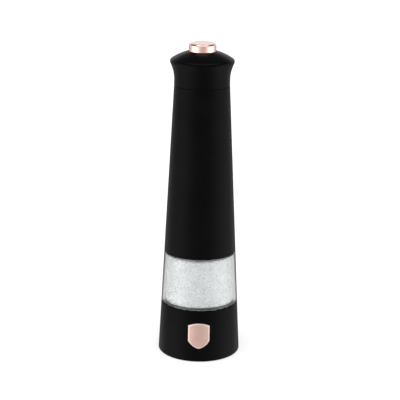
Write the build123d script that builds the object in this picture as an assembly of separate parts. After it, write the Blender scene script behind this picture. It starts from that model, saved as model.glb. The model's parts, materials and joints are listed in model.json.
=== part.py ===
"""Battery-powered salt and pepper mill: a tapered black body over a clear chamber and a black base.

Lengths are in millimetres. +Z is up, the axis of the mill is the Z axis, and the origin is the centre
of the flat rim that the mill stands on. The nameplate faces -Y.
"""

from build123d import *
from math import acos, cos, pi, radians, sin, sqrt, tan
import os

# ---- driving dimensions of the outside ----
HEIGHT = 220.0  # standing height, floor to the top of the button
FOOT_R = 28.9  # radius of the foot at the floor
TAPER = 0.0512  # radius lost per millimetre of height, all the way up to the head
BASE_TOP = 37.3  # joint between the base and the clear chamber
WINDOW_TOP = 73.7  # joint between the clear chamber and the tapered body
HEAD_SEAM = 191.3  # joint between the tapered body and the head
WALL = 2.0  # casing wall
SEAM = 0.25  # bevel on the edges that meet at a visible joint
NECK_Z = 195.0  # height of the narrowest section of the head
NARROWEST_R = 19.06
FLARE_R = 26.9  # radius of the concave sweep from the neck to the crown
DOME_R = 37.7  # radius of the spherical top of the head
DOME_CENTRE = 178.2  # height of that sphere's centre
CROWN_FILLET = 2.2
BUTTON_R = 9.26

# ---- clear chamber and its bayonet ----
CHAMBER_WALL = 2.4
SPIGOT_R = 24.85
THROAT_R = 22.4  # bore below the window
NECK_R = 20.0
MOUTH_R = 18.0  # the filling hole
NECK_TOP = 81.0
LUG_R = 21.2
SKIRT_R = 21.4
LUG_Z = (78.6, 80.6)
TAB_Z = (76.0, 78.3)
LUG_ANGLES = (90.0, 210.0, 330.0)

# ---- grinder ----
FLANGE_Z = (25.9, 28.0)
SHELF_Z = (28.05, 29.8)
BURR_R = 16.5
BURR_Z = (6.7, 16.5)
CONE_Z = (7.0, 17.0)
CONE_R = (12.6, 7.0)
COVER_Z = (5.0, 6.6)
KNOB_Z = (2.0, 6.9)
KNOB_R = 7.2
STUD_R = 1.75  # M4 stud, thread left plain
SQUARE = 4.0  # drive shaft across flats
JOURNAL_R = 3.2
HUB_Z = (22.0, 28.0)
SHAFT_TOP = 82.6
BOSS_R = 21.5  # pitch radius of the bottom cover's screws

# ---- planetary gearbox ----
MODULE = 0.45
SUN_TEETH, PLANET_TEETH, RING_TEETH = 12, 18, 48
BACKLASH = 0.08  # taken from each tooth at the pitch circle
CENTRES = MODULE * (SUN_TEETH + PLANET_TEETH) / 2
PLANET_ANGLES = (0.0, 120.0, 240.0)
PIN_R = 1.0
RUNNING = 0.03  # radial clearance of a gear on its pin
GEARBOX_R = 13.0
FIRST_STAGE_Z = (98.8, 103.7)
SECOND_STAGE_Z = (91.1, 96.0)
MOTOR_FACE = 106.0
CAN_R = 12.2
CAN_TOP = 133.0

# ---- batteries ----
CELL_R = 5.25  # AAA
CELL_PITCH_R = 7.7
CELL_ANGLES = (45.0, 135.0, 225.0, 315.0)
CARRIER_R = 13.5
CARRIER_Z = (143.5, 192.5)
END_WALL = 1.4
PAD = 0.25  # thickness of a contact pad
CELL_LENGTH = 44.5
CELL_NUB = 1.2
CUP_R = (13.8, 15.0)
CUP_FLOOR = (140.5, 141.7)
RING_TOP = 193.2  # contact ring and centre stud that the switch bridges

# ---- head ----
PLUG_R = 16.45
PLUG_BORE = 15.35
PLUG_Z = 183.0
PLATE_Z = (198.5, 200.4)
HEAD_LUG_Z = (184.0, 185.5)
HEAD_TAB_Z = (185.8, 187.3)
HEAD_LUG_R = 17.1
STEM_R = 1.75


def casing_r(z):
    """Outside radius of the tapered casing at height z."""
    return FOOT_R - TAPER * z


def flare_r(z, inset=0.0):
    """Radius of the head's concave sweep at height z, moved in by inset."""
    return NARROWEST_R + FLARE_R - sqrt(FLARE_R**2 - (z - NECK_Z) ** 2) - inset


def dome_z(r, inset=0.0):
    """Height of the head's spherical top at radius r, moved in by inset."""
    return DOME_CENTRE + sqrt((DOME_R - inset) ** 2 - r**2)


# ---- helpers ----


def outline(*points):
    """Closed face in the XZ plane from (radius, height) points."""
    return make_face(Polyline(*[(r, 0, z) for r, z in points], close=True))


def turned(*points):
    """Solid of revolution about Z from (radius, height) points."""
    return revolve(outline(*points), Axis.Z)


def disc(r, z0, z1, x=0.0, y=0.0):
    return Pos(x, y, z0) * Cylinder(r, z1 - z0, align=(Align.CENTER, Align.CENTER, Align.MIN))


def tube(r_in, r_out, z0, z1):
    return disc(r_out, z0, z1) - disc(r_in, z0 - 1, z1 + 1)


def block(x0, x1, width, z0, z1):
    """Box from x0 to x1, centred on the X axis."""
    return Pos((x0 + x1) / 2, 0, (z0 + z1) / 2) * Box(x1 - x0, width, z1 - z0)


def around(shape, angles):
    """Copies of a shape turned about Z to each angle."""
    return [Rot(0, 0, a) * shape for a in angles]


def polar(r, angle):
    return r * cos(radians(angle)), r * sin(radians(angle))


def sector(r_in, r_out, z0, z1, centre, span):
    """Piece of a ring that spans some degrees about a centre angle."""
    reach = 2 * r_out
    edges = [centre - span / 2, centre, centre + span / 2]
    wedge = make_face(Polyline((0, 0), *[polar(reach, a) for a in edges], close=True))
    return tube(r_in, r_out, z0, z1) & Pos(0, 0, z0) * extrude(wedge, z1 - z0)


def coil(radius, wire, z0, z1, turns):
    """Compression spring between two heights."""
    height = z1 - z0 - wire
    path = Helix(height / turns, height, radius)
    section = Plane(origin=path @ 0, z_dir=path % 0) * Circle(wire / 2)
    return Pos(0, 0, z0 + wire / 2) * sweep(section, path, is_frenet=True)


def screw(head_r, shank_r, head_z, tip_z, x, y, head_height=1.3):
    """Screw with its head below head_z and its shank up to tip_z, with a cross recess."""
    head = disc(head_r, head_z - head_height, head_z)
    for turn in (0, 90):
        slot = Rot(0, 0, turn) * Box(head_r * 1.2, 0.4, 1.2)
        head -= Pos(0, 0, head_z - head_height) * slot
    return Pos(x, y, 0) * (head + disc(shank_r, head_z, tip_z))


# ---- involute gears ----


def gear_points(teeth, tip, root, thicken, phase):
    """Outline of a gear, flank by flank; a tooth is centred on the phase angle, in degrees."""
    pitch_r = MODULE * teeth / 2
    base_r = pitch_r * cos(radians(20))
    involute = lambda r: tan(acos(base_r / r)) - acos(base_r / r)
    half = (pi * MODULE / 2 + thicken) / (2 * pitch_r)
    low = max(root, base_r)
    radii = [low + (tip - low) * k / 3 for k in range(4)]
    flank = [(r, half + involute(pitch_r) - involute(r)) for r in radii]
    if root < base_r:
        flank.insert(0, (root, flank[0][1]))
    points = []
    for k in range(teeth):
        middle = radians(phase) + 2 * pi * k / teeth
        points += [(r * cos(middle - a), r * sin(middle - a)) for r, a in flank]
        points += [(r * cos(middle + a), r * sin(middle + a)) for r, a in reversed(flank)]
    return points


def gear(teeth, z0, z1, phase=0.0):
    """External gear with stub teeth."""
    pitch_r = MODULE * teeth / 2
    points = gear_points(teeth, pitch_r + 0.8 * MODULE, pitch_r - 1.1 * MODULE, -BACKLASH, phase)
    return Pos(0, 0, z0) * extrude(make_face(Polyline(*points, close=True)), z1 - z0)


def ring_hollow(z0, z1):
    """The hollow of the internal gear: its gaps are teeth of this shape, one of them on +X."""
    pitch_r = MODULE * RING_TEETH / 2
    points = gear_points(RING_TEETH, pitch_r + 1.1 * MODULE, pitch_r - 0.8 * MODULE, BACKLASH, 0)
    return Pos(0, 0, z0) * extrude(make_face(Polyline(*points, close=True)), z1 - z0)


# ---- base ----


def shield(grow=0.0):
    """Nameplate outline in the XZ plane: an arched top, straight sides and a curved point."""
    half, shoulder, side_foot, tip, crest = 7.45 + grow, 26.5 + grow, 15.6, 9.9 - grow, 28.3 + grow
    top = ThreePointArc((-half, 0, shoulder), (0, 0, crest), (half, 0, shoulder))
    right = Line((half, 0, shoulder), (half, 0, side_foot))
    bulge_x, bulge_z = half * 0.62, (side_foot + tip) / 2 - 0.6
    right_foot = ThreePointArc((half, 0, side_foot), (bulge_x, 0, bulge_z), (0, 0, tip))
    left_foot = ThreePointArc((0, 0, tip), (-bulge_x, 0, bulge_z), (-half, 0, side_foot))
    left = Line((-half, 0, side_foot), (-half, 0, shoulder))
    face = make_face([top, right, right_foot, left_foot, left])
    return face


def shield_block(grow=0.0):
    """The nameplate outline as a block that reaches out of the front of the base."""
    return extrude(Pos(0, -20, 0) * shield(grow), 15, dir=(0, -1, 0))


def cone_shell(inner, outer, z0, z1):
    """Conical shell between two offsets from the casing's outside."""
    return turned(
        (casing_r(z0) + inner, z0),
        (casing_r(z0) + outer, z0),
        (casing_r(z1) + outer, z1),
        (casing_r(z1) + inner, z1),
    )


NAMEPLATE_Z = (8.0, 30.0)
NAMEPLATE_SINK = 0.8
NAMEPLATE_PROUD = 0.45
HOUSING_SCREW_R = 23.8
HOUSING_SCREW_ANGLES = (30.0, 150.0, 270.0)
BOSS_ANGLES = (90.0, 210.0, 330.0)


def base_shell():
    rounding = 1.3
    shell = turned(
        (casing_r(0) - WALL, 0),
        (casing_r(0), 0),
        (casing_r(BASE_TOP) + TAPER * SEAM, BASE_TOP - SEAM),
        (casing_r(BASE_TOP) - SEAM, BASE_TOP),
        (casing_r(BASE_TOP) - WALL, BASE_TOP),
        (casing_r(SHELF_Z[1]) - WALL, SHELF_Z[1]),
        (THROAT_R + 0.1, SHELF_Z[1]),
        (THROAT_R + 0.1, SHELF_Z[0]),
        (casing_r(SHELF_Z[0]) - WALL, SHELF_Z[0]),
    )
    foot_edge = shell.edges().filter_by(GeomType.CIRCLE).group_by(Axis.Z)[0].sort_by(SortBy.LENGTH)[-1]
    shell = fillet(foot_edge, rounding)
    shell -= shield_block(0.06) & cone_shell(-NAMEPLATE_SINK, 3, *NAMEPLATE_Z)
    for angle in HOUSING_SCREW_ANGLES:
        x, y = polar(HOUSING_SCREW_R, angle)
        shell -= disc(0.9, SHELF_Z[0] - 1, SHELF_Z[1] - 0.3, x, y)
    return shell


def nameplate():
    """Blank shield-shaped plate with a raised border."""
    plate = shield_block() & cone_shell(-NAMEPLATE_SINK + 0.02, NAMEPLATE_PROUD, *NAMEPLATE_Z)
    hollow = shield_block(-1.0) & cone_shell(NAMEPLATE_PROUD - 0.2, 3, *NAMEPLATE_Z)
    return plate - hollow


def spice_chamber():
    """Clear chamber: a spigot inside the base, the window, a shoulder and the bayonet neck."""
    inner_foot = casing_r(BASE_TOP) - CHAMBER_WALL
    shell = turned(
        (THROAT_R, 30.7),
        (SPIGOT_R, 30.7),
        (SPIGOT_R, BASE_TOP + 0.02),
        (casing_r(BASE_TOP) - SEAM, BASE_TOP + 0.02),
        (casing_r(BASE_TOP), BASE_TOP + SEAM),
        (casing_r(WINDOW_TOP), WINDOW_TOP - SEAM),
        (casing_r(WINDOW_TOP) - SEAM, WINDOW_TOP),
        (NECK_R, WINDOW_TOP),
        (NECK_R, NECK_TOP),
        (MOUTH_R, NECK_TOP),
        (MOUTH_R, WINDOW_TOP - 1.2),
        (casing_r(WINDOW_TOP) - CHAMBER_WALL - 0.5, WINDOW_TOP - 1.2),
        (casing_r(WINDOW_TOP) - CHAMBER_WALL, WINDOW_TOP - 1.7),
        (inner_foot, BASE_TOP + 1.5),
        (THROAT_R, BASE_TOP - 0.9),
    )
    for angle in LUG_ANGLES:
        shell += sector(NECK_R - 0.5, LUG_R, *LUG_Z, angle, 24)
    return shell


def chamber_seal():
    return tube(22.6, 24.8, SHELF_Z[1] + 0.02, 30.68)


def grinder_housing():
    """Funnel floor of the chamber, with the ring burr's seat, a spider for the shaft and screw bosses."""
    body = turned(
        (THROAT_R, FLANGE_Z[1]),
        (25.3, FLANGE_Z[1]),
        (25.3, FLANGE_Z[0]),
        (21.9, FLANGE_Z[0]),
        (18.4, 21.0),
        (18.4, COVER_Z[1] + 0.02),
        (BURR_R + 0.05, COVER_Z[1] + 0.02),
        (BURR_R + 0.05, BURR_Z[1] + 0.05),
        (14.0, BURR_Z[1] + 0.05),
        (14.0, 18.2),
    )
    for angle in BOSS_ANGLES:
        x, y = polar(BOSS_R, angle)
        body += disc(2.4, COVER_Z[1] + 0.02, FLANGE_Z[0] + 0.5, x, y)
        rib = block(18.0, BOSS_R, 1.4, COVER_Z[1] + 2, FLANGE_Z[0])
        body += Rot(0, 0, angle) * rib
    for angle in BOSS_ANGLES:
        x, y = polar(BOSS_R, angle)
        body -= disc(1.0, COVER_Z[1] - 1, COVER_Z[1] + 9, x, y)
    arm = extrude(outline((4.8, 22.8), (18.8, 22.8), (20.9, 25.4), (4.8, 25.4)), 1.2, both=True)
    for piece in around(arm, (0.0, 120.0, 240.0)):
        body += piece
    body += disc(6.0, *HUB_Z)
    body -= disc(4.5, HUB_Z[0] - 1, HUB_Z[1] + 1)
    for angle in HOUSING_SCREW_ANGLES:
        x, y = polar(HOUSING_SCREW_R, angle)
        body -= disc(1.0, FLANGE_Z[0] - 1, FLANGE_Z[1] + 1, x, y)
    return body


def housing_screws():
    return [
        screw(1.4, 0.88, FLANGE_Z[0] - 0.02, SHELF_Z[1] - 0.4, *polar(HOUSING_SCREW_R, angle))
        for angle in HOUSING_SCREW_ANGLES
    ]


def burr_groove(r0, z0, r1, z1, width, twist):
    """Square bar laid along a cone's side, standing on its edge, to cut one slanting groove."""
    length = sqrt((r1 - r0) ** 2 + (z1 - z0) ** 2) + 6
    lean = Vector(r1 - r0, 0, z1 - z0)
    bar = Rot(0, 0, 45) * Box(width, width, length)
    axis = Plane(origin=((r0 + r1) / 2, 0, (z0 + z1) / 2), x_dir=(0, 1, 0), z_dir=lean)
    return axis * (Rot(0, twist, 0) * bar)


def ring_burr():
    """Fixed ceramic burr: a grinding cone below the waist and a feed funnel above it."""
    waist_r, waist_z = 11.9, 10.2
    burr = turned(
        (13.1, BURR_Z[0]),
        (BURR_R, BURR_Z[0]),
        (BURR_R, BURR_Z[1]),
        (14.3, BURR_Z[1]),
        (waist_r, waist_z),
    )
    teeth = 20
    groove = burr_groove(waist_r + 0.1, waist_z, 14.4, BURR_Z[1], 1.3, 24)
    for k in range(teeth):
        burr -= Rot(0, 0, 360 * k / teeth) * groove
    return burr


def shaft_bush():
    return tube(JOURNAL_R + 0.02, 4.48, HUB_Z[0] + 0.1, HUB_Z[1] - 0.02)


def bottom_cover():
    cover = tube(13.5, casing_r(COVER_Z[0]) - WALL - 0.2, *COVER_Z)
    groove = tube(14.6, 15.6, COVER_Z[0] - 0.5, COVER_Z[0] + 0.5)
    cover -= groove
    for angle in BOSS_ANGLES:
        x, y = polar(BOSS_R, angle)
        cover -= disc(1.1, COVER_Z[0] - 1, COVER_Z[1] + 1, x, y)
    return cover


def cover_screws():
    return [screw(1.9, 0.97, COVER_Z[0] - 0.02, COVER_Z[1] + 7, *polar(BOSS_R, a)) for a in BOSS_ANGLES]


# ---- drive shaft, burr and grind adjuster ----


def drive_shaft():
    """Steel shaft: threaded stud, square for the burr, journal, collar, rod and driving blade."""
    shaft = disc(STUD_R, 2.6, 9.0)
    square = Pos(0, 0, (8.0 + HUB_Z[0]) / 2) * Box(SQUARE, SQUARE, HUB_Z[0] - 8.0)
    shaft += square
    shaft += disc(JOURNAL_R, HUB_Z[0], HUB_Z[1] + 0.1)
    shaft += disc(4.6, HUB_Z[1] + 0.05, HUB_Z[1] + 1.6)
    shaft += disc(2.5, HUB_Z[1] + 1.0, 76.0)
    shaft += disc(3.6, 74.6, 76.2)
    shaft += disc(1.5, 76.0, SHAFT_TOP)
    blade = Box(7.7, 2.0, SHAFT_TOP - 76.0) & disc(3.85, -10, 10)
    shaft += Pos(0, 0, (SHAFT_TOP + 76.0) / 2) * blade
    return shaft


def burr_spring():
    return coil(4.1, 0.7, CONE_Z[1] + 0.1, HUB_Z[0] - 0.1, 3)


def cone_burr():
    """Turning ceramic burr on the square of the shaft."""
    burr = turned((0, CONE_Z[0]), (CONE_R[0], CONE_Z[0]), (CONE_R[1], CONE_Z[1]), (0, CONE_Z[1]))
    teeth = 16
    groove = burr_groove(CONE_R[0] + 0.25, CONE_Z[0], CONE_R[1] + 0.25, CONE_Z[1], 1.5, -26)
    for k in range(teeth):
        burr -= Rot(0, 0, 360 * k / teeth) * groove
    bore = SQUARE + 0.1
    return burr - Pos(0, 0, 12) * Box(bore, bore, 12)


def adjuster_knob():
    """Round knob with finger flutes, threaded on the stud."""
    knob = disc(KNOB_R, *KNOB_Z)
    for k in range(12):
        x, y = polar(KNOB_R + 0.5, 30 * k)
        knob -= disc(1.1, KNOB_Z[0] - 1, KNOB_Z[1] - 1.2, x, y)
    knob -= disc(STUD_R + 0.05, KNOB_Z[0] + 0.5, KNOB_Z[1] + 1)
    pointer = Pos(0, 4.2, KNOB_Z[0]) * Box(0.9, 3.6, 0.8)
    return knob - pointer


# ---- tapered body, motor housing and battery cup ----

HOUSING_FLOOR = (82.4, 84.4)
MOTOR_TUBE = (13.1, 14.6)
SCREW_POST_R = 16.9
SCREW_POST_ANGLES = (60.0, 240.0)
CUP_SCREW_Z = 142.5


def body_gasket():
    return tube(17.8, NECK_R - 0.1, NECK_TOP + 0.05, HOUSING_FLOOR[0] - 0.05)


def body_shell():
    shell = turned(
        (casing_r(WINDOW_TOP) - WALL, WINDOW_TOP + 0.05),
        (casing_r(WINDOW_TOP) - SEAM, WINDOW_TOP + 0.05),
        (casing_r(WINDOW_TOP), WINDOW_TOP + 0.05 + SEAM),
        (casing_r(HEAD_SEAM), HEAD_SEAM - SEAM),
        (casing_r(HEAD_SEAM) - SEAM, HEAD_SEAM),
        (casing_r(HEAD_SEAM) - WALL, HEAD_SEAM),
    )
    inner = casing_r(HEAD_TAB_Z[0]) - WALL
    for angle in LUG_ANGLES:
        shell += sector(PLUG_R + 0.25, inner + 0.8, *HEAD_TAB_Z, angle, 28)
    return shell


def motor_housing():
    """Inner frame: bayonet skirt below the floor, a tube for the gear motor and two screw posts."""
    gap = 0.12
    skirt_top = casing_r(HOUSING_FLOOR[1]) - WALL - gap
    frame = turned(
        (SKIRT_R, WINDOW_TOP + 0.4),
        (casing_r(WINDOW_TOP) - WALL - gap, WINDOW_TOP + 0.4),
        (skirt_top, HOUSING_FLOOR[1]),
        (MOTOR_TUBE[1], HOUSING_FLOOR[1]),
        (MOTOR_TUBE[1], 138.0),
        (MOTOR_TUBE[0], 138.0),
        (MOTOR_TUBE[0], HOUSING_FLOOR[1]),
        (7.0, HOUSING_FLOOR[1]),
        (7.0, HOUSING_FLOOR[0]),
        (SKIRT_R, HOUSING_FLOOR[0]),
    )
    for angle in LUG_ANGLES:
        frame += sector(NECK_R + 0.2, SKIRT_R + 0.3, *TAB_Z, angle, 40)
    top = CUP_FLOOR[0] - 0.02
    for angle in SCREW_POST_ANGLES:
        x, y = polar(SCREW_POST_R, angle)
        frame += disc(2.2, HOUSING_FLOOR[0] + 1, top, x, y)
        frame += Rot(0, 0, angle) * block(MOTOR_TUBE[0] + 0.5, SCREW_POST_R, 1.6, HOUSING_FLOOR[1], 138.0)
    for angle in SCREW_POST_ANGLES:
        x, y = polar(SCREW_POST_R, angle)
        frame -= disc(0.9, top - 9, top + 1, x, y)
    return frame


def battery_cup():
    """Sleeve that guides the battery carrier, with a flange that centres it in the body."""
    inner, outer = CUP_R
    flange_r = casing_r(CUP_SCREW_Z) - WALL - 0.15
    cup = turned(
        (0, CUP_FLOOR[0]),
        (flange_r, CUP_FLOOR[0]),
        (flange_r, CUP_SCREW_Z),
        (outer, CUP_SCREW_Z),
        (outer, RING_TOP - 0.62),
        (inner, RING_TOP - 0.62),
        (inner, CUP_FLOOR[1]),
        (0, CUP_FLOOR[1]),
    )
    cup -= disc(0.5, CUP_FLOOR[0] - 1, CUP_FLOOR[1] + 1, 2.6, 0)
    cup -= block(outer, outer + 1.2, 3.4, CUP_FLOOR[0] - 1, CUP_SCREW_Z + 1)
    for angle in SCREW_POST_ANGLES:
        x, y = polar(SCREW_POST_R, angle)
        cup -= disc(1.1, CUP_FLOOR[0] - 1, CUP_SCREW_Z + 1, x, y)
    return cup


def cup_screws():
    """Two screws that hold the cup to the posts, heads up."""
    found = []
    for angle in SCREW_POST_ANGLES:
        x, y = polar(SCREW_POST_R, angle)
        head = disc(1.7, CUP_SCREW_Z + 0.02, CUP_SCREW_Z + 1.3, x, y)
        found.append(head + disc(0.85, CUP_SCREW_Z - 8, CUP_SCREW_Z + 0.1, x, y))
    return found


def supply_spring():
    """Contact spring on the cup's floor, under the carrier's centre contact."""
    return coil(2.6, 0.5, CUP_FLOOR[1] + 0.02, CARRIER_Z[0] - 0.02, 2)


def return_strip():
    """Brass contact ring on the cup's rim, with the strip that runs down to the motor."""
    inner, outer = CUP_R
    strip = tube(inner + 0.1, outer, RING_TOP - 0.6, RING_TOP)
    strip += block(outer - 0.3, outer + 0.28, 3.0, RING_TOP - 0.6, RING_TOP)
    strip += block(outer + 0.02, outer + 0.28, 3.0, 138.6, RING_TOP)
    strip += block(11.5, outer + 0.28, 3.0, 138.6, 138.9)
    return strip


# ---- gear motor ----


def gear_ring():
    """Gearbox case: the internal gear for both stages, with an output plate and a foot."""
    case = disc(GEARBOX_R, HOUSING_FLOOR[1] + 0.02, MOTOR_FACE - 2)
    case -= disc(10.0, HOUSING_FLOOR[1] - 1, 86.5)
    case -= ring_hollow(88.5, MOTOR_FACE - 1)
    return case - disc(5.0, 80, 90)


def output_bush():
    return tube(4.02, 4.98, 86.3, 88.5)


def motor_plate():
    plate = tube(3.4, GEARBOX_R, MOTOR_FACE - 1.98, MOTOR_FACE)
    for x in (-8, 8):
        plate -= disc(1.05, MOTOR_FACE - 3, MOTOR_FACE + 1, x, 0)
        plate -= disc(1.85, MOTOR_FACE - 3, MOTOR_FACE - 0.9, x, 0)
    return plate


def motor_screws():
    head = disc(1.8, MOTOR_FACE - 1.95, MOTOR_FACE - 0.92)
    one = head + disc(0.95, MOTOR_FACE - 1, MOTOR_FACE + 1.4)
    return [Pos(x, 0, 0) * one for x in (-8, 8)]


def planet(z0, z1):
    return gear(PLANET_TEETH, z0, z1) - disc(PIN_R + RUNNING, z0 - 1, z1 + 1)


def carrier_pins(z0, z1):
    return [disc(PIN_R, z0, z1, *polar(CENTRES, angle)) for angle in PLANET_ANGLES]


SUN_GAP_PHASE = 180 / SUN_TEETH  # a gap of the sun faces +X


def first_carrier():
    """Carrier of the first stage, with the second stage's sun gear moulded under it."""
    disc_z = (96.3, 98.5)
    part = disc(9.6, *disc_z)
    for pin in carrier_pins(disc_z[1] - 0.5, FIRST_STAGE_Z[1]):
        part += pin
    return part + gear(SUN_TEETH, SECOND_STAGE_Z[0], disc_z[0] + 0.3, SUN_GAP_PHASE)


def second_carrier():
    """Carrier of the second stage, with the output journal and its square tail."""
    disc_z = (88.7, 90.8)
    part = disc(9.6, *disc_z)
    for pin in carrier_pins(disc_z[1] - 0.5, SECOND_STAGE_Z[1]):
        part += pin
    part += disc(4.0, 85.4, disc_z[0] + 0.2)
    return part + Pos(0, 0, 84.6) * Box(SQUARE, SQUARE, 2.6)


def drive_socket():
    """Cup under the gearbox whose two dogs push the blade of the shaft, with play for twisting."""
    socket = disc(6.0, 77.0, 85.3)
    bore = disc(4.3, 76.0, 82.9)
    for angle in (90.0, 270.0):
        bore -= sector(2.3, 6.0, 75.0, 84.0, angle, 44)
    socket -= bore
    return socket - Pos(0, 0, 84.4) * Box(SQUARE + 0.04, SQUARE + 0.04, 4.0)


def motor_can():
    can = disc(CAN_R, MOTOR_FACE + 0.02, CAN_TOP) - disc(CAN_R - 0.7, MOTOR_FACE + 1.0, CAN_TOP + 1)
    can += disc(3.3, MOTOR_FACE - 1.4, MOTOR_FACE + 0.5)
    can -= disc(1.03, MOTOR_FACE - 3, MOTOR_FACE + 3)
    for x in (-8, 8):
        can -= disc(1.0, MOTOR_FACE - 1, MOTOR_FACE + 2, x, 0)
    return can


def motor_magnets():
    r_out = CAN_R - 0.72
    return [sector(9.7, r_out, 109.0, 126.0, angle, 140) for angle in (0.0, 180.0)]


def motor_end_cap():
    """Plastic end of the motor, with the top bearing's bore."""
    cap = disc(CAN_R - 0.74, CAN_TOP - 2.5, CAN_TOP + 0.5) + disc(CAN_R, CAN_TOP + 0.02, CAN_TOP + 2.5)
    return cap - disc(1.03, CAN_TOP - 4, CAN_TOP + 4)


def motor_brushes():
    return [Pos(0, side * 5.2, 128.8) * Box(1.6, 3.6, 3.2) for side in (-1, 1)]


def motor_terminals():
    """Two solder tabs; the one on -X takes the supply lead and the one on +X the return lead."""
    top = CAN_TOP + 2.52
    return [Pos(side * 8.4, 0, top + 1.0) * Box(0.5, 2.0, 2.0) for side in (-1, 1)]


def armature_core():
    """Three-pole laminated core."""
    core = disc(3.4, 110.5, 124.5)
    for angle in PLANET_ANGLES:
        core += Rot(0, 0, angle) * block(2.5, 8.2, 2.6, 110.5, 124.5)
        core += sector(7.4, 9.2, 110.5, 124.5, angle, 100)
    return core - disc(1.0, 109, 126)


def armature_coils():
    coils = []
    for angle in PLANET_ANGLES:
        winding = block(4.4, 6.9, 4.6, 109.6, 125.4) - block(4.0, 8.0, 2.64, 110.46, 124.54)
        coils.append(Rot(0, 0, angle) * winding)
    return coils


def commutator():
    drum = tube(1.0, 3.3, 126.8, 130.2)
    for angle in PLANET_ANGLES:
        drum -= Rot(0, 0, angle + 60) * block(2.4, 4.0, 0.4, 126.0, 131.0)
    return drum


def motor_shaft():
    return disc(1.0, FIRST_STAGE_Z[0] + 0.1, CAN_TOP + 2.2)


def sun_pinion():
    return gear(SUN_TEETH, FIRST_STAGE_Z[0] + 0.1, 104.3, SUN_GAP_PHASE) - disc(1.0, 97, 106)


def lead(points, radii):
    """Insulated wire along straight runs joined by arcs."""
    path = FilletPolyline(*points, radius=radii)
    section = Plane(origin=path @ 0, z_dir=path % 0) * Circle(0.45)
    return sweep(section, path)


def supply_lead():
    """From the motor's -X tab, up through the cup's floor to the supply spring."""
    tab = CAN_TOP + 3.9
    level = tab + 1.5
    run = [(-8.1, 0, tab), (-4.0, 0, tab), (-1.0, 0, level), (2.6, 0, level)]
    return lead(run + [(2.6, 0, CUP_FLOOR[1])], 1.2)


def return_lead():
    tab = CAN_TOP + 3.6
    return lead([(8.4, 1.02, tab), (8.4, 4.4, tab), (11.7, 4.4, tab), (11.7, 0.8, 138.1)], 1.2)


# ---- battery carrier ----


def battery_carrier():
    """Round holder with four bays open to the side."""
    low, high = CARRIER_Z
    carrier = disc(CARRIER_R, low, high)
    bay = disc(CELL_R + 0.15, low + END_WALL, high - END_WALL, CELL_PITCH_R, 0)
    bay += block(CELL_PITCH_R, CARRIER_R + 2, 9.4, low + END_WALL, high - END_WALL)
    for piece in around(bay, CELL_ANGLES):
        carrier -= piece
    carrier -= disc(2.7, low - 1, low + 0.42)
    return carrier - disc(2.2, high - 0.5, high + 1)


def alternate(shapes):
    """Place one shape in each bay: the first, third, ... upright and the others upside down."""
    middle = (CARRIER_Z[0] + CARRIER_Z[1]) / 2
    placed = []
    for k, (shape, angle) in enumerate(zip(shapes, CELL_ANGLES)):
        if k % 2:
            shape = Pos(0, 0, middle) * Rot(180, 0, 0) * Pos(0, 0, -middle) * shape
        placed.append(Pos(*polar(CELL_PITCH_R, angle), 0) * shape)
    return placed


def aaa_cell():
    """Upright cell: a rounded can, with its nub against the upper contact pad."""
    top = CARRIER_Z[1] - END_WALL - PAD - 0.04
    body = disc(CELL_R, top - CELL_LENGTH, top - CELL_NUB)
    body = fillet(body.edges().filter_by(GeomType.CIRCLE), 0.5)
    return body + disc(1.9, top - CELL_NUB - 0.1, top)


def cell_spring():
    """Coil that presses the flat end of an upright cell."""
    low = CARRIER_Z[0] + END_WALL + PAD + 0.04
    cell_foot = CARRIER_Z[1] - END_WALL - PAD - 0.04 - CELL_LENGTH
    return coil(2.4, 0.4, low, cell_foot - 0.02, 1.6)


def aaa_cells():
    return alternate([aaa_cell() for _ in CELL_ANGLES])


def cell_springs():
    return alternate([cell_spring() for _ in CELL_ANGLES])


def cell_contacts():
    """Contact pads at both ends of each bay, the carrier's bottom contact and its top stud."""
    low, high = CARRIER_Z
    pads = [disc(2.6, low + 0.02, low + 0.4), disc(2.1, high - 0.48, RING_TOP)]
    for angle in CELL_ANGLES:
        x, y = polar(CELL_PITCH_R, angle)
        pads.append(disc(3.4, low + END_WALL + 0.02, low + END_WALL + 0.02 + PAD, x, y))
        pads.append(disc(3.4, high - END_WALL - 0.02 - PAD, high - END_WALL - 0.02, x, y))
    return pads


# ---- head and button ----

COLLAR_R = (9.5, 11.2)
COLLAR_FOOT = 209.7
HEAD_WALL = 1.8
HEAD_POST_R = 14.2
HEAD_POST_ANGLES = (30.0, 150.0, 270.0)


def crown_corner():
    """Radius and height where the flare meets the dome, found by halving."""
    low, high = 205.0, 212.0
    for _ in range(40):
        z = (low + high) / 2
        if dome_z(flare_r(z)) > z:
            low = z
        else:
            high = z
    return flare_r(z), z


def head_outline():
    """Section of the head: cone, flare, crown and dome outside, then the collar and the inside."""
    foot, r_seam, r_neck = HEAD_SEAM + 0.05, casing_r(HEAD_SEAM), flare_r(NECK_Z)
    r_in = r_neck - HEAD_WALL
    corner_r, corner_z = crown_corner()
    hole, collar = COLLAR_R
    rim = 19.2
    corner = (corner_r, 0, corner_z)
    hole_edge = (hole, 0, dome_z(hole))
    collar_top = (collar, 0, dome_z(collar, WALL))
    inner_rim = (rim, 0, dome_z(rim, WALL))
    edges = [
        Line((r_seam, 0, foot + SEAM), (r_neck, 0, NECK_Z)),
        ThreePointArc((r_neck, 0, NECK_Z), (flare_r(202), 0, 202), corner),
        ThreePointArc(corner, (16, 0, dome_z(16)), hole_edge),
        Polyline(hole_edge, (hole, 0, COLLAR_FOOT), (collar, 0, COLLAR_FOOT), collar_top),
        ThreePointArc(collar_top, (15, 0, dome_z(15, WALL)), inner_rim),
        Polyline(inner_rim, (19.4, 0, 206.4), (r_in, 0, NECK_Z + 2), (r_in, 0, foot)),
        Polyline((r_in, 0, foot), (r_seam - SEAM, 0, foot), (r_seam, 0, foot + SEAM)),
    ]
    face = make_face(edges)
    crown = face.vertices().sort_by_distance(corner)[0]
    return fillet(crown, CROWN_FILLET)


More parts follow.
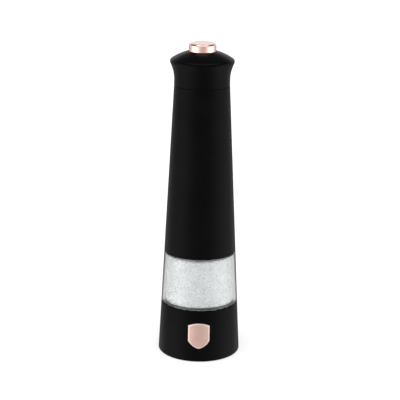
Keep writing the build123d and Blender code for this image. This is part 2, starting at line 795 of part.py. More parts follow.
def head_shell():
    """Neck, flared crown and domed top, with a collar for the button and three screw posts."""
    shell = revolve(head_outline(), Axis.Z)
    for angle in HEAD_POST_ANGLES:
        x, y = polar(HEAD_POST_R, angle)
        shell += disc(2.0, PLATE_Z[1] + 0.02, dome_z(HEAD_POST_R, WALL) + 0.8, x, y)
    for angle in HEAD_POST_ANGLES:
        x, y = polar(HEAD_POST_R, angle)
        shell -= disc(0.9, PLATE_Z[1] - 1, PLATE_Z[1] + 7, x, y)
    return shell


def head_plug():
    """Plug under the head: a plate for the switch and a skirt with bayonet lugs."""
    wide = 17.1
    plug = turned(
        (0, PLATE_Z[0]),
        (PLUG_BORE, PLATE_Z[0]),
        (PLUG_BORE, PLUG_Z),
        (PLUG_R, PLUG_Z),
        (PLUG_R, HEAD_SEAM + 0.1),
        (wide, HEAD_SEAM + 0.1),
        (wide, PLATE_Z[1]),
        (0, PLATE_Z[1]),
    )
    for angle in LUG_ANGLES:
        plug += sector(PLUG_R - 0.4, HEAD_LUG_R, *HEAD_LUG_Z, angle, 22)
    for angle in HEAD_POST_ANGLES:
        x, y = polar(HEAD_POST_R, angle)
        plug -= disc(1.0, PLATE_Z[0] - 1, PLATE_Z[1] + 1, x, y)
    return plug - disc(STEM_R + 0.06, PLATE_Z[0] - 1, PLATE_Z[1] + 1)


def head_screws():
    under, tip = PLATE_Z[0] - 0.02, PLATE_Z[1] + 6.4
    places = [polar(HEAD_POST_R, a) for a in HEAD_POST_ANGLES]
    return [screw(1.05, 0.85, under, tip, x, y, 0.9) for x, y in places]


def head_seal():
    return Pos(0, 0, 188.8) * Torus(16.81, 0.27)


def push_button():
    """Plated cap with a rounded top edge, a catch flange and a boss for the stem."""
    cap = disc(BUTTON_R, 207.9, HEIGHT)
    top_edge = cap.edges().filter_by(GeomType.CIRCLE).sort_by(Axis.Z)[-1]
    cap = fillet(top_edge, 1.5)
    cap -= disc(BUTTON_R - 1.3, 206, HEIGHT - 1.6)
    cap += tube(BUTTON_R - 1.3, 10.8, 207.9, 209.4)
    cap += disc(3.2, 214.0, HEIGHT - 1.0)
    return cap - disc(STEM_R, 213, HEIGHT - 2.6)


def button_stem():
    """Stem with a collar that holds the bridge disc from above."""
    stem = disc(STEM_R, 195.52, HEIGHT - 2.7)
    return stem + disc(2.6, 196.12, 196.8)


def bridge_disc():
    """Brass disc on the stem that joins the centre stud to the contact ring when pressed."""
    plate = tube(STEM_R, 14.4, 195.52, 196.1)
    for angle in HEAD_POST_ANGLES:
        x, y = polar(HEAD_POST_R, angle)
        plate -= disc(1.6, 195, 197, x, y)
    return plate


def button_spring():
    return coil(5.2, 0.7, PLATE_Z[1] + 0.02, HEIGHT - 1.62, 6)


# ---- write one file for each node ----


def planet_name(stage, k):
    return f"{stage}_planet_{'abc'[k]}"


def nodes():
    made = {
        "base_shell": base_shell(),
        "nameplate": nameplate(),
        "spice_chamber": spice_chamber(),
        "chamber_seal": chamber_seal(),
        "grinder_housing": grinder_housing(),
        "housing_screws": housing_screws(),
        "ring_burr": ring_burr(),
        "shaft_bush": shaft_bush(),
        "bottom_cover": bottom_cover(),
        "cover_screws": cover_screws(),
        "drive_shaft": drive_shaft(),
        "burr_spring": burr_spring(),
        "cone_burr": cone_burr(),
        "adjuster_knob": adjuster_knob(),
        "body_gasket": body_gasket(),
        "body_shell": body_shell(),
        "motor_housing": motor_housing(),
        "battery_cup": battery_cup(),
        "cup_screws": cup_screws(),
        "supply_spring": supply_spring(),
        "return_strip": return_strip(),
        "gear_ring": gear_ring(),
        "output_bush": output_bush(),
        "motor_plate": motor_plate(),
        "motor_screws": motor_screws(),
        "first_carrier": first_carrier(),
        "second_carrier": second_carrier(),
        "drive_socket": drive_socket(),
        "motor_can": motor_can(),
        "motor_magnets": motor_magnets(),
        "motor_end_cap": motor_end_cap(),
        "motor_brushes": motor_brushes(),
        "motor_terminals": motor_terminals(),
        "armature_core": armature_core(),
        "armature_coils": armature_coils(),
        "commutator": commutator(),
        "motor_shaft": motor_shaft(),
        "sun_pinion": sun_pinion(),
        "supply_lead": supply_lead(),
        "return_lead": return_lead(),
        "battery_carrier": battery_carrier(),
        "aaa_cells": aaa_cells(),
        "cell_springs": cell_springs(),
        "cell_contacts": cell_contacts(),
        "head_shell": head_shell(),
        "head_plug": head_plug(),
        "head_screws": head_screws(),
        "head_seal": head_seal(),
        "push_button": push_button(),
        "button_stem": button_stem(),
        "bridge_disc": bridge_disc(),
        "button_spring": button_spring(),
    }
    for stage, heights in (("first", FIRST_STAGE_Z), ("second", SECOND_STAGE_Z)):
        for k, angle in enumerate(PLANET_ANGLES):
            x, y = polar(CENTRES, angle)
            made[planet_name(stage, k)] = Pos(x, y, 0) * planet(*heights)
    return made


os.makedirs("parts", exist_ok=True)
for name, shape in nodes().items():
    solids = shape if isinstance(shape, list) else [shape]
    pieces = [solid for item in solids for solid in item.solids()]
    export_step(pieces[0] if len(pieces) == 1 else Compound(children=pieces), f"parts/{name}.step")
    print(name, len(pieces), round(sum(solid.volume for solid in pieces), 1))
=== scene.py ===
# %% [markdown]
# # A battery salt mill, finished in Blender
# The mill comes in as a fixed frame of separate solid pieces, one for every part that a maker would
# order. This lesson gives each of them its real surface, turns smoother skins for the ones that show,
# and fills the clear chamber with coarse salt. Lengths are in metres, the mill's axis is Z, its foot
# stands on Z = 0, and the shield on the base looks towards -Y.

import json
import math
import random

import bmesh
import bpy
from mathutils import Matrix, Vector

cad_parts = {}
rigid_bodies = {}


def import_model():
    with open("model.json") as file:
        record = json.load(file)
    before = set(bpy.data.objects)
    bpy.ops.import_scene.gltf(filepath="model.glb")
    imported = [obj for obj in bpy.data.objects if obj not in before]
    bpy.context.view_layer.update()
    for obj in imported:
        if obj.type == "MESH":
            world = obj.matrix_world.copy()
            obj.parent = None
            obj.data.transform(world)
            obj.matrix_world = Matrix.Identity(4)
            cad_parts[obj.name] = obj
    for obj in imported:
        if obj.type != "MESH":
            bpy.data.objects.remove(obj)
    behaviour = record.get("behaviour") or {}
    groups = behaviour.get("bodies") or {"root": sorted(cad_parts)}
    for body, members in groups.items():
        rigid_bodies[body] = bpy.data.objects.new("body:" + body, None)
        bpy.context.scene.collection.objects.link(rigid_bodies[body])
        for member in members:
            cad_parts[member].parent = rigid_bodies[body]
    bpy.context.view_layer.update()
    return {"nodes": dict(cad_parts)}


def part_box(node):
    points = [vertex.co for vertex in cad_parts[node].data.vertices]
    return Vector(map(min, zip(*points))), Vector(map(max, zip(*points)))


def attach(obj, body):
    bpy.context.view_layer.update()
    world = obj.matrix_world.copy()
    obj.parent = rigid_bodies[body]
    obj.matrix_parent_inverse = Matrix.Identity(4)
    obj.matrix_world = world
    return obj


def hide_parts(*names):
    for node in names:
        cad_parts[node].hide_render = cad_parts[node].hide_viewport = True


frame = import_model()
nodes = frame["nodes"]
scene = bpy.context.scene
MM = 0.001

# %% [markdown]
# ## Heights and radii
# All the skins share one cone: the foot, the window and the body are cut from the same taper. Its two
# numbers are those of the solids, and the last print compares them with the box of the body. The
# heights are read from the boxes of the frame's pieces, so a skin lies where its solid lies.
# Everything below is written in millimetres, and MM turns it to metres at the last moment.

# %% Measure the taper
STAND_R = 28.9
TAPER = 0.0512
base_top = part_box("base_shell")[1].z / MM
window_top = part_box("body_shell")[0].z / MM
head_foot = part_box("head_shell")[0].z / MM
body_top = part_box("body_shell")[1].z / MM
button_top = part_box("push_button")[1].z / MM


def cone(z):
    """Radius of the outside of the mill at height z, in millimetres."""
    return STAND_R - TAPER * z


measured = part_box("body_shell")[1].x / MM
print(f"window {base_top:.1f} to {window_top:.1f}, head from {head_foot:.1f}")
print(f"body foot radius {measured:.2f}, cone says {cone(window_top):.2f}")

# %% [markdown]
# ## Camera
# A product shot of a slim upright object is taken from far away with a long lens, so that the sides
# stay nearly parallel. The camera stands 0.83 m in front, a little above the mill, looks down by 16
# degrees, and is rolled by less than one degree.

# %% Place the camera
LENS_MM = 110.75
LOOK_DOWN = 16.03
ROLL = math.radians(0.762)
CAMERA_AT = (0, -0.8265, 0.3473)
camera_data = bpy.data.cameras.new("camera")
camera_data.lens = LENS_MM
camera_data.sensor_width = 36
camera_data.shift_x = -0.0014
camera_data.clip_start = 0.05
camera = bpy.data.objects.new("camera", camera_data)
scene.collection.objects.link(camera)
tilt = Matrix.Rotation(math.radians(90 - LOOK_DOWN), 4, "X")
camera.matrix_world = Matrix.Translation(CAMERA_AT) @ tilt @ Matrix.Rotation(ROLL, 4, "Z")
scene.camera = camera
print("camera lens", LENS_MM, "mm, at", [round(v, 3) for v in camera.location])

# %% [markdown]
# ## Colour and node helpers
# Colours are picked as the hex values that a screen shows, but shaders work on linear light, so one
# function converts them. A second function adds a node of any kind with its settings, and either sets
# each input or links it, depending on what it is given.


# %% Colour and node helpers
def srgb(code):
    """Linear red, green, blue and alpha from a hex colour."""
    values = [int(code[k : k + 2], 16) / 255 for k in (1, 3, 5)]
    return tuple(v / 12.92 if v <= 0.04045 else ((v + 0.055) / 1.055) ** 2.4 for v in values) + (1.0,)


def add(tree, kind, inputs=None, **settings):
    """Add one node; an input is linked when its value is a socket, or a node's first output."""
    made = tree.nodes.new(kind)
    for name, value in settings.items():
        setattr(made, name, value)
    for key, value in (inputs or {}).items():
        value = value.outputs[0] if isinstance(value, bpy.types.Node) else value
        if isinstance(value, bpy.types.NodeSocket):
            tree.links.new(value, made.inputs[key])
        else:
            made.inputs[key].default_value = value
    return made


print("mid grey #808080 is", round(srgb("#808080")[0], 3), "in linear light")

# %% [markdown]
# ## Floor and light
# The mill stands on a wide sheet of white card, lit from below as on a light table, so its shadow is
# faint. The card lights the mill, but it is kept out of its mirror images and out of what is seen
# through the window: black lacquer that mirrors a white table gets pale rims, and in a studio dark
# flags behind the object prevent that. The soft light is one very wide sun from the front and above,
# which needs no distance and so keeps the card evenly white.


# %% Make the floor
CARD_RADIUS = 6.0
CARD_GLOW = 0.52
UNDER_FOOT = 0.2 * MM


def white_card():
    """A round sheet of white card, large enough to fill the view."""
    mesh = bpy.data.meshes.new("floor")
    shape = bmesh.new()
    bmesh.ops.create_circle(shape, cap_ends=True, segments=96, radius=CARD_RADIUS)
    shape.to_mesh(mesh)
    shape.free()
    sheet = bpy.data.objects.new("floor", mesh)
    scene.collection.objects.link(sheet)
    sheet.location.z = -UNDER_FOOT
    card = bpy.data.materials.new("white card")
    card.use_nodes = True
    shader = card.node_tree.nodes["Principled BSDF"]
    shader.inputs["Base Color"].default_value = srgb("#949494")
    shader.inputs["Roughness"].default_value = 0.85
    shader.inputs["Specular IOR Level"].default_value = 0.1
    shader.inputs["Emission Color"].default_value = srgb("#ffffff")
    shader.inputs["Emission Strength"].default_value = CARD_GLOW
    mesh.materials.append(card)
    sheet.visible_glossy = False
    sheet.visible_transmission = False
    return sheet


floor = white_card()
print("floor", [round(v, 2) for v in floor.dimensions])

# %% Light the stage
sun_data = bpy.data.lights.new("wide sun", "SUN")
sun_data.energy = 2.8
sun_data.angle = math.radians(100)
sun = bpy.data.objects.new("wide sun", sun_data)
sun.matrix_world = Matrix.Rotation(math.radians(-8), 4, "Y") @ Matrix.Rotation(math.radians(35), 4, "X")
sun.visible_glossy = False
scene.collection.objects.link(sun)
scene.view_settings.view_transform = "Standard"
print("light:", sun.name, sun_data.energy, "spread over", round(math.degrees(sun_data.angle)), "degrees")

# %% [markdown]
# ### The room that the mill mirrors
# What makes a black or a polished surface readable is what it mirrors. The room is a world whose
# brightness depends on direction only: pale in front, dark behind and below, with a soft tall panel on
# either side of the camera. The panels draw the quiet bands on the black casing and the white bands on
# the button. A low glow behind is what the top of the button mirrors, and a lamp nearly overhead draws
# the thin line along the crown. Light that has already been scattered sees an even room instead, as
# it would under a large tent, so the salt is lit equally from all sides.


# %% Build the room
MATH = "ShaderNodeMath"
RANGE = "ShaderNodeMapRange"
SOFT = {"interpolation_type": "SMOOTHSTEP"}
SIDE_PANELS = {-66: 1.9, 76: 1.9}
PANEL_WIDTH = 33
LAMP, GLOW, TENT = 5.0, 0.9, 1.35


def panel(tree, azimuth, centre_degrees, strength):
    """Soft vertical panel: brightness that falls off on both sides of an azimuth."""
    off = add(tree, MATH, {0: azimuth, 1: math.radians(centre_degrees)}, operation="SUBTRACT")
    far = add(tree, MATH, {0: off, 1: math.radians(PANEL_WIDTH)}, operation="DIVIDE")
    squared = add(tree, MATH, {0: far, 1: far}, operation="MULTIPLY")
    fall = add(tree, MATH, {0: squared, 1: -1.0}, operation="MULTIPLY")
    bell = add(tree, MATH, {0: fall}, operation="EXPONENT")
    return add(tree, MATH, {0: bell, 1: strength}, operation="MULTIPLY")


def studio_room():
    world = bpy.data.worlds.new("studio room")
    world.use_nodes = True
    tree = world.node_tree
    split = add(tree, "ShaderNodeSeparateXYZ", {0: add(tree, "ShaderNodeTexCoord").outputs["Generated"]})
    ahead = add(tree, MATH, {0: split.outputs[1], 1: -1.0}, operation="MULTIPLY")
    azimuth = add(tree, MATH, {0: split.outputs[0], 1: ahead}, operation="ARCTAN2")
    aside = add(tree, MATH, {0: azimuth}, operation="ABSOLUTE")
    up = split.outputs[2]
    dark_back = {0: aside, 1: math.radians(138), 2: math.radians(170), 3: 0.7, 4: 0.05}
    around = add(tree, RANGE, dark_back, **SOFT)
    above = add(tree, RANGE, {0: up, 1: 0.05, 2: 0.3}, **SOFT)
    level = add(tree, "ShaderNodeMix", {0: above, 2: around, 3: 0.2})
    behind = add(tree, RANGE, {0: aside, 1: math.radians(100), 2: math.radians(150)}, **SOFT)
    in_front = add(tree, RANGE, {0: aside, 1: math.radians(100), 2: math.radians(70)}, **SOFT)
    spots = [(behind, 0.0, 0.12, 0.5, 0.36, GLOW), (in_front, 0.72, 0.84, 0.98, 0.94, LAMP)]
    for where, low, low_end, high, high_end, strength in spots:
        lower = add(tree, RANGE, {0: up, 1: low, 2: low_end}, **SOFT)
        upper = add(tree, RANGE, {0: up, 1: high, 2: high_end}, **SOFT)
        between = add(tree, MATH, {0: lower, 1: upper}, operation="MULTIPLY")
        band = add(tree, MATH, {0: between, 1: where}, operation="MULTIPLY")
        level = add(tree, MATH, {0: band, 1: strength, 2: level}, operation="MULTIPLY_ADD")
    left, right = [panel(tree, azimuth, centre, strength) for centre, strength in SIDE_PANELS.items()]
    panels = add(tree, MATH, {0: left, 1: right}, operation="ADD")
    low_down = add(tree, RANGE, {0: up, 1: 0.35, 2: 0.1}, **SOFT)
    level = add(tree, MATH, {0: panels, 1: low_down, 2: level}, operation="MULTIPLY_ADD")
    light_path = add(tree, "ShaderNodeLightPath")
    scattered = add(tree, RANGE, {0: light_path.outputs["Diffuse Depth"]}, **SOFT)
    level = add(tree, "ShaderNodeMix", {0: scattered, 2: level, 3: TENT})
    room = add(tree, "ShaderNodeBackground", {"Color": srgb("#ffffff"), "Strength": level})
    plain = add(tree, "ShaderNodeBackground", {"Color": srgb("#ffffff"), "Strength": 1.0})
    seen = light_path.outputs["Is Camera Ray"]
    both = add(tree, "ShaderNodeMixShader", {0: seen, 1: room, 2: plain})
    tree.links.new(both.outputs[0], tree.nodes["World Output"].inputs["Surface"])
    return world


scene.world = studio_room()
print("the room has", len(scene.world.node_tree.nodes), "nodes")

# %% [markdown]
# ## Finishes
# Each finish starts from the real material and from how its surface was made. A finish has three
# layers of detail: an even colour with slow changes, a roughness that is never the same all over, and
# a bump with the texture of the tool that made it. The sizes of the patterns are real sizes in
# millimetres, divided into one metre to give the scale of a noise.


# %% Parts that every finish uses
def new_finish(name, colour, **sockets):
    """Material with a Principled shader, whose plain values are set on its own sockets."""
    made = bpy.data.materials.new(name)
    made.use_nodes = True
    shader = made.node_tree.nodes["Principled BSDF"]
    shader.inputs["Base Color"].default_value = srgb(colour)
    for key, value in sockets.items():
        shader.inputs[key.replace("_", " ")].default_value = value
    return made, made.node_tree, shader


def spots_of(tree, size_mm, detail=2.0, place=None):
    """Soft spots about size_mm across, in the piece's own coordinates from the centre of the foot."""
    place = place or add(tree, "ShaderNodeTexCoord").outputs["Object"]
    inputs = {"Vector": place, "Scale": 1 / (size_mm * MM), "Detail": detail}
    return add(tree, "ShaderNodeTexNoise", inputs).outputs[0]


def from_axis(tree):
    """Distance from the mill's axis, and height, of the place that is being shaded."""
    split = add(tree, "ShaderNodeSeparateXYZ", {0: add(tree, "ShaderNodeTexCoord").outputs["Object"]})
    flat = add(tree, "ShaderNodeCombineXYZ", {0: split.outputs[0], 1: split.outputs[1]})
    radius = add(tree, "ShaderNodeVectorMath", {0: flat}, operation="LENGTH").outputs["Value"]
    return radius, split.outputs[2]


def lathe_lines(tree, pitch_mm):
    """Spots that change only with radius and height, as the marks left on a turned piece."""
    radius, height = from_axis(tree)
    place = add(tree, "ShaderNodeCombineXYZ", {0: radius, 2: height}).outputs[0]
    return spots_of(tree, pitch_mm, 1.0, place)


def coloured(tree, shader, amount, first, second, start=0.3, end=0.7):
    """First layer: the colour goes from one to the other while the amount goes from start to end."""
    share = add(tree, RANGE, {0: amount, 1: start, 2: end})
    first = srgb(first) if isinstance(first, str) else first
    mix = add(tree, "ShaderNodeMix", {0: share, 6: first, 7: srgb(second)}, data_type="RGBA")
    tree.links.new(mix.outputs[2], shader.inputs["Base Color"])
    return mix.outputs[2]


def worn(tree, shader, size_mm, detail, low, high):
    """Second layer: roughness that wanders between two values, as handling and polishing leave it."""
    inputs = {0: spots_of(tree, size_mm, detail), 1: 0.3, 2: 0.7, 3: low, 4: high}
    tree.links.new(add(tree, RANGE, inputs).outputs[0], shader.inputs["Roughness"])


def textured(tree, shader, *layers):
    """Third layer: one bump on top of another, each a height from 0 to 1 and a real depth in mm."""
    under = None
    for height, depth_mm in layers:
        inputs = {"Height": height, "Distance": depth_mm * MM, "Strength": 1.0}
        inputs |= {"Normal": under} if under else {}
        under = add(tree, "ShaderNodeBump", inputs).outputs[0]
    tree.links.new(under, shader.inputs["Normal"])


print("finish helpers ready")

# %% [markdown]
# ### Satin black ABS
# The casing is ABS, injection moulded in a spark-eroded tool and then sprayed with a soft-touch
# lacquer. To the eye it is nearly black, with wide quiet reflections. The spark texture has grains of
# about 0.15 mm, which is too fine to show at arm's length, so it is drawn at 0.4 mm and very shallow.
# Its specular level is far below a real lacquer's 0.5, because at 0.5 its edges turn pale in this room.


# %% Satin black ABS
def satin_black_abs():
    made, tree, shader = new_finish("satin black lacquered ABS", "#030304", IOR=1.5, Specular_IOR_Level=0.035)
    coloured(tree, shader, spots_of(tree, 14), "#030304", "#050505")
    worn(tree, shader, 9, 3, 0.26, 0.32)
    textured(tree, shader, (spots_of(tree, 6, 1), 0.006), (spots_of(tree, 0.4, 1), 0.0035))
    return made


black_casing = satin_black_abs()
print("made", black_casing.name)

# %% [markdown]
# ### Clear acrylic
# The chamber is moulded acrylic with polished walls 2.4 mm thick. Real refraction matters here: the
# salt does not stick to the wall, so at both edges the eye sees into the wall alone, as a grey band
# as wide as the wall. A plain see-through shader would lose that band. The specular level is again
# lower than the real one, to keep the side panels from washing over the salt.


# %% Clear acrylic
def clear_acrylic():
    sockets = {"IOR": 1.49, "Transmission_Weight": 1.0, "Specular_IOR_Level": 0.08}
    made, tree, shader = new_finish("clear polished acrylic", "#fbfdfd", **sockets)
    worn(tree, shader, 12, 3, 0.0, 0.03)
    textured(tree, shader, (spots_of(tree, 8, 0), 0.004))
    return made


acrylic = clear_acrylic()
print("made", acrylic.name)

# %% [markdown]
# ### Rose gold plate
# The button and the shield are plated in a pale copper-gold alloy. The button is polished, and the
# shield is stamped from brushed sheet, so its scratches all run one way. Metals keep the default IOR:
# the colour of the metal is its base colour.


# %% Rose gold plate
def rose_gold(name, first, second, low, high):
    made, tree, shader = new_finish(name, first, Metallic=1.0)
    tone = coloured(tree, shader, spots_of(tree, 6, 3), first, second)
    worn(tree, shader, 3, 4, low, high)
    return made, tree, shader, tone


def polished_rose_gold():
    made, tree, shader, tone = rose_gold("polished rose gold plate", "#e6c0b3", "#ecc9be", 0.1, 0.16)
    textured(tree, shader, (lathe_lines(tree, 0.12), 0.0006), (spots_of(tree, 5, 1), 0.003))
    return made


def brushed_rose_gold():
    """Brushed field, and a paler border where the plate stands more than 0.3 mm proud of the cone."""
    made, tree, shader, tone = rose_gold("brushed rose gold plate", "#d6b2a7", "#ddbbb0", 0.42, 0.5)
    radius, height = from_axis(tree)
    casing = add(tree, MATH, {0: height, 1: -TAPER, 2: cone(0) * MM}, operation="MULTIPLY_ADD")
    proud = add(tree, MATH, {0: radius, 1: casing}, operation="SUBTRACT").outputs[0]
    coloured(tree, shader, proud, tone, "#ecd6ce", 0.3 * MM, 0.4 * MM)
    place = add(tree, "ShaderNodeTexCoord").outputs["Object"]
    stretched = add(tree, "ShaderNodeMapping", {"Vector": place, "Scale": (0.06, 1, 1)})
    textured(tree, shader, (spots_of(tree, 0.09, 2, stretched.outputs[0]), 0.0006))
    return made


button_plate = polished_rose_gold()
shield_plate = brushed_rose_gold()
print("made", button_plate.name, "and", shield_plate.name)

# %% [markdown]
# ### Coarse salt
# Salt grains are clear crystals with a frosted skin. A heap of them looks white, because light
# scatters from grain to grain, and a little greyish in the gaps. Subsurface light gives that glow,
# and a slow change of tone keeps the heap from looking like plaster. The grey of the gaps is painted
# shade: grey specks on every grain, and a darker colour on the bed between the crystals.


# %% Coarse salt
def coarse_salt(name, bright, shade, size_mm):
    made, tree, shader = new_finish(name, bright, IOR=1.544, Specular_IOR_Level=0.2, Subsurface_Weight=0.5)
    shader.inputs["Subsurface Radius"].default_value = (1.0, 0.97, 0.95)
    shader.inputs["Subsurface Scale"].default_value = 0.8 * MM
    tone = coloured(tree, shader, spots_of(tree, size_mm, 3), bright, shade)
    # Grey specks (#9aa0a8) are painted shade, standing for the shaded gaps between grains.
    inputs = {0: spots_of(tree, 1.8, 2), 1: 0.66, 2: 0.76, 4: 0.55}
    share = add(tree, RANGE, inputs)
    specks = add(tree, "ShaderNodeMix", {0: share, 6: tone, 7: srgb("#9aa0a8")}, data_type="RGBA")
    tree.links.new(specks.outputs[2], shader.inputs["Base Color"])
    worn(tree, shader, 1.5, 2, 0.25, 0.55)
    textured(tree, shader, (spots_of(tree, 0.5, 3), 0.03))
    return made


salt_crystal = coarse_salt("frosted salt crystal", "#f4f3f1", "#e0e2e5", 5)
# The bed between the crystals is painted darker than the crystals: painted shade in the gaps.
salt_powder = coarse_salt("salt between the crystals", "#e4e3e1", "#cbcdd0", 3)
print("made", salt_crystal.name, "and", salt_powder.name)

# %% [markdown]
# ### Finishes of the working parts
# Inside are the things that every small appliance has: steel, brass, ceramic, acetal gears, glass
# filled nylon, silicone and enamelled wire. They show when the body or the head is lifted off, or from
# below. Each is short, because the parts above do most of the work.


# %% Plastics inside
def filled_nylon():
    """Glass-filled nylon: matte, dark, with a faint mottle where the fibres lie near the skin."""
    made, tree, shader = new_finish("glass filled nylon", "#1a1a1b", Specular_IOR_Level=0.4)
    coloured(tree, shader, spots_of(tree, 1.6, 4), "#161617", "#242425", 0.4, 0.75)
    worn(tree, shader, 4, 3, 0.5, 0.68)
    textured(tree, shader, (spots_of(tree, 0.35, 2), 0.006))
    return made


def moulded_acetal():
    """Acetal: waxy and slightly see-through white, as small gears have."""
    made, tree, shader = new_finish("moulded acetal", "#e8e5da", IOR=1.48, Subsurface_Weight=0.2)
    shader.inputs["Subsurface Scale"].default_value = 0.5 * MM
    coloured(tree, shader, spots_of(tree, 3, 2), "#e9e6dc", "#dfdbce")
    worn(tree, shader, 1.2, 2, 0.28, 0.4)
    textured(tree, shader, (spots_of(tree, 0.6, 1), 0.003))
    return made


def soft_silicone():
    """Silicone rubber: dull and a little dusty, with a fine orange-peel skin."""
    made, tree, shader = new_finish("grey silicone rubber", "#3a3b3d", IOR=1.41, Sheen_Weight=0.15)
    coloured(tree, shader, spots_of(tree, 2, 3), "#343537", "#424346")
    worn(tree, shader, 1, 2, 0.6, 0.75)
    textured(tree, shader, (spots_of(tree, 0.5, 1), 0.01))
    return made


def lead_jacket(name, first, second):
    """PVC wire cover, extruded, so its faint streaks are fine and its gloss is even."""
    made, tree, shader = new_finish(name, first, IOR=1.53)
    coloured(tree, shader, spots_of(tree, 1, 2), first, second)
    worn(tree, shader, 0.8, 2, 0.35, 0.48)
    textured(tree, shader, (spots_of(tree, 0.3, 1), 0.004))
    return made


nylon, acetal, silicone = filled_nylon(), moulded_acetal(), soft_silicone()
red_lead = lead_jacket("red PVC", "#a3161a", "#8c1115")
black_lead = lead_jacket("black PVC", "#151515", "#1d1d1d")
print("made", nylon.name, acetal.name, silicone.name)


# %% Metals inside
def worked_metal(name, first, second, low, high, pitch_mm, depth_mm):
    """Metal with fine turning lines round its axis and a slow change of tone."""
    made, tree, shader = new_finish(name, first, Metallic=1.0)
    coloured(tree, shader, spots_of(tree, 4, 3), first, second)
    worn(tree, shader, 1.5, 3, low, high)
    textured(tree, shader, (lathe_lines(tree, pitch_mm), depth_mm))
    return made


def laminated_iron():
    """A stack of iron sheets 0.5 mm thick, with lacquer between them."""
    made, tree, shader = new_finish("laminated iron", "#6f7073", Metallic=1.0)
    height = from_axis(tree)[1]
    sheet = add(tree, MATH, {0: height, 1: 0.5 * MM}, operation="MODULO").outputs[0]
    coloured(tree, shader, sheet, "#77787b", "#2e2c2a", 0.36 * MM, 0.44 * MM)
    edge = add(tree, RANGE, {0: sheet, 1: 0.36 * MM, 2: 0.44 * MM}).outputs[0]
    worn(tree, shader, 2, 2, 0.35, 0.5)
    textured(tree, shader, (edge, -0.03))
    return made


def wound_wire():
    """Enamelled copper wire 0.3 mm thick, laid side by side, with painted shade in the grooves between turns.
    """
    made, tree, shader = new_finish("enamelled copper wire", "#b4582e", Metallic=1.0, Coat_Weight=0.6)
    height = from_axis(tree)[1]
    turns = add(tree, MATH, {0: height, 1: 2 * math.pi / (0.3 * MM)}, operation="MULTIPLY")
    wave = add(tree, MATH, {0: turns}, operation="SINE").outputs[0]
    # The colour goes dark in the grooves between turns: painted shade in the creases.
    coloured(tree, shader, wave, "#6d2c14", "#c4673a", -1, 0.2)
    worn(tree, shader, 1, 2, 0.22, 0.34)
    crest = add(tree, RANGE, {0: wave, 1: -1.0, 2: 1.0})
    textured(tree, shader, (crest.outputs[0], 0.05))
    return made


steel = worked_metal("turned stainless steel", "#b9bbbd", "#a9abae", 0.2, 0.32, 0.25, 0.003)
zinc = worked_metal("zinc plated steel", "#a9adb0", "#9a9ca0", 0.3, 0.45, 0.5, 0.002)
spring_wire = worked_metal("drawn spring wire", "#8f9194", "#7c7e81", 0.25, 0.36, 0.2, 0.002)
brass = worked_metal("rolled brass", "#d3b069", "#c29d55", 0.24, 0.38, 0.3, 0.002)
carbon = worked_metal("copper graphite", "#4a3c34", "#33302e", 0.5, 0.65, 0.4, 0.004)
iron_stack, copper_wire = laminated_iron(), wound_wire()
print("metals:", steel.name, zinc.name, brass.name, iron_stack.name, copper_wire.name)


# %% Ceramic, magnets and cells
def fired_ceramic():
    """Alumina burr: chalky off-white with fine grey specks."""
    made, tree, shader = new_finish("fired alumina", "#e6e2d8", IOR=1.65)
    coloured(tree, shader, spots_of(tree, 0.35, 3), "#e7e3d9", "#b9b4a8", 0.62, 0.7)
    worn(tree, shader, 1, 3, 0.45, 0.65)
    textured(tree, shader, (spots_of(tree, 0.3, 2), 0.012))
    return made


def pressed_ferrite():
    """Ferrite magnet: charcoal grey, pressed from powder and ground."""
    made, tree, shader = new_finish("pressed ferrite", "#2c2d30", IOR=2.0)
    coloured(tree, shader, spots_of(tree, 0.5, 3), "#26272a", "#37383c", 0.4, 0.7)
    worn(tree, shader, 1, 3, 0.45, 0.6)
    textured(tree, shader, (spots_of(tree, 0.25, 2), 0.01))
    return made


def cell_jacket():
    """Shrink film on a cell: a dark jacket, a gold band near both ends and bare steel at the ends."""
    made, tree, shader = new_finish("printed cell jacket", "#14231c", Coat_Weight=0.5)
    low, high = (corner.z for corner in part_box("aaa_cells"))
    from_middle = add(tree, MATH, {0: from_axis(tree)[1], 1: (low + high) / 2}, operation="SUBTRACT")
    far = add(tree, MATH, {0: from_middle}, operation="ABSOLUTE").outputs[0]
    printed = coloured(tree, shader, far, "#14231c", "#b98d3f", 14.0 * MM, 14.05 * MM)
    coloured(tree, shader, far, printed, "#b7b9bb", 20.6 * MM, 20.65 * MM)
    band = add(tree, RANGE, {0: far, 1: 14.0 * MM, 2: 14.05 * MM})
    tree.links.new(band.outputs[0], shader.inputs["Metallic"])
    worn(tree, shader, 2, 3, 0.25, 0.36)
    textured(tree, shader, (spots_of(tree, 3, 1), 0.01))
    return made


ceramic, ferrite, jacket = fired_ceramic(), pressed_ferrite(), cell_jacket()
print("made", ceramic.name, ferrite.name, jacket.name)

# %% [markdown]
# ## Dress the frame's own pieces
# Many pieces of the frame already have their exact shape, and only need their finish. The table below
# says which piece gets which finish, so that a part drawer could be sorted with it.

